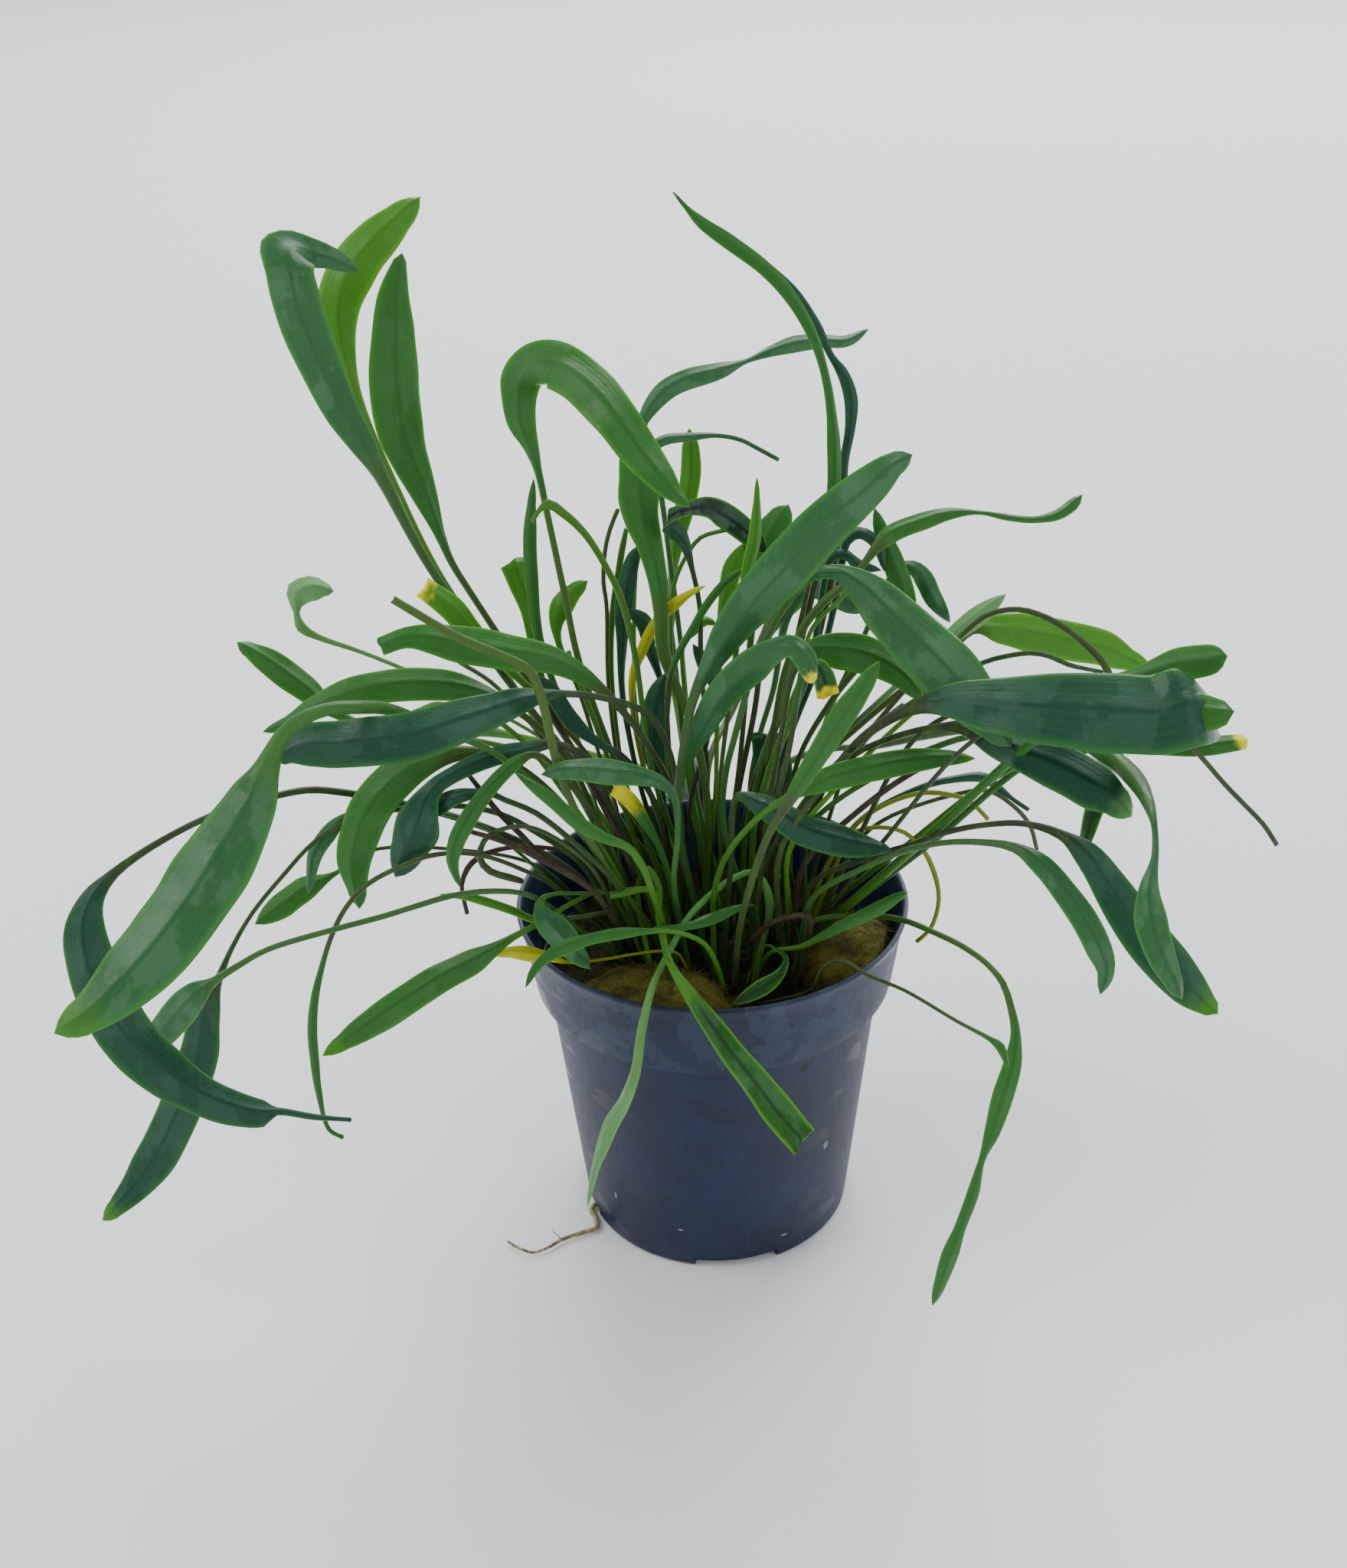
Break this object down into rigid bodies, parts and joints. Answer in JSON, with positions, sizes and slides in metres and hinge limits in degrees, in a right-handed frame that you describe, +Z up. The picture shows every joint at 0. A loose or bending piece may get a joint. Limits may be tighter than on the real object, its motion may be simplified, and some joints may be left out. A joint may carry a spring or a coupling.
{
  "type": "potted aquarium plant",
  "caption": "Long-stalked cryptocoryne with lance-shaped leaves arching out of a 9 cm nursery pot filled with mineral wool",
  "frame": {"origin": "centre of the flat underside of the pot's base", "axes": "+Z up along the pot's axis, -Y towards the front of the plant, +X to its right"},
  "size_m": [0.2599, 0.184, 0.238],
  "materials": {
    "pot_plastic": "moulded, fine vertical drag marks, satin",
    "wool_fibre": "loose mineral fibre, dull",
    "root_skin": "dry root skin",
    "leaf_dark": "waxy leaf, wet gloss in patches",
    "leaf_mid": "waxy leaf",
    "leaf_bright": "young leaf, lets light through",
    "leaf_grey": "waxy leaf with a grey sheen",
    "leaf_pale": "pale stalk and young leaf",
    "leaf_dry": "dried stalk, dull"
  },
  "bodies": {
    "root": {"pot": "pot_plastic", "mineral_wool": "wool_fibre", "root_strand": "root_skin", "shoot_back": "leaf_bright", "shoot_left": "leaf_pale", "shoot_right": "leaf_pale", "leaf_back_bright": "leaf_bright", "leaf_folded_left": "leaf_dark", "leaf_upright_left": "leaf_mid", "leaf_arch_centre": "leaf_mid", "leaf_tall_upright": "leaf_mid", "leaf_slender_right": "leaf_pale", "leaf_dry_tip": "leaf_dry", "leaf_yellow_green_upright": "leaf_bright", "leaf_long_top": "leaf_mid", "leaf_long_top_pair": "leaf_dark", "leaf_big_diagonal": "leaf_dark", "leaf_folded_dark": "leaf_dark", "leaf_left_point": "leaf_mid", "leaf_arch_upper_left": "leaf_dark", "leaf_big_dark_left": "leaf_dark", "leaf_big_front_left": "leaf_grey", "leaf_torn_left": "leaf_dark", "leaf_stalk_cut_left": "leaf_bright", "leaf_hanging_bright": "leaf_bright", "leaf_folded_teal": "leaf_dark", "leaf_olive_twist": "leaf_mid", "leaf_far_left_hook": "leaf_dark", "leaf_low_left": "leaf_dark", "leaf_pale_triangle": "leaf_pale", "leaf_hanging_thin": "leaf_mid", "leaf_narrow_green_left": "leaf_bright", "leaf_low_front_left": "leaf_mid", "leaf_grey_over_rim": "leaf_grey", "leaf_front_over_rim": "leaf_bright", "leaf_front_bent_stalk": "leaf_pale", "leaf_front_cut": "leaf_bright", "leaf_wavy_right": "leaf_bright", "leaf_wide_right": "leaf_grey", "leaf_wide_front_right": "leaf_dark", "leaf_dark_right": "leaf_dark", "leaf_bright_right": "leaf_bright", "leaf_behind_right": "leaf_mid", "leaf_droop_upper_right": "leaf_grey", "leaf_droop_dark": "leaf_dark", "leaf_droop_grey": "leaf_grey", "leaf_lowest_right": "leaf_mid", "leaf_thin_front_right": "leaf_mid", "leaf_right_over_rim": "leaf_mid", "leaf_yellow_tip": "leaf_mid", "leaf_dark_crossing": "leaf_dark", "leaf_narrow_rising_right": "leaf_bright", "leaf_round_back": "leaf_mid", "leaf_wet_fold": "leaf_grey", "leaf_upright_right": "leaf_mid", "leaf_rear_left": "leaf_mid", "leaf_rear_centre": "leaf_mid", "leaf_rear_right": "leaf_dark", "leaf_rear_hanging": "leaf_dark"}
  },
  "joints": []
}
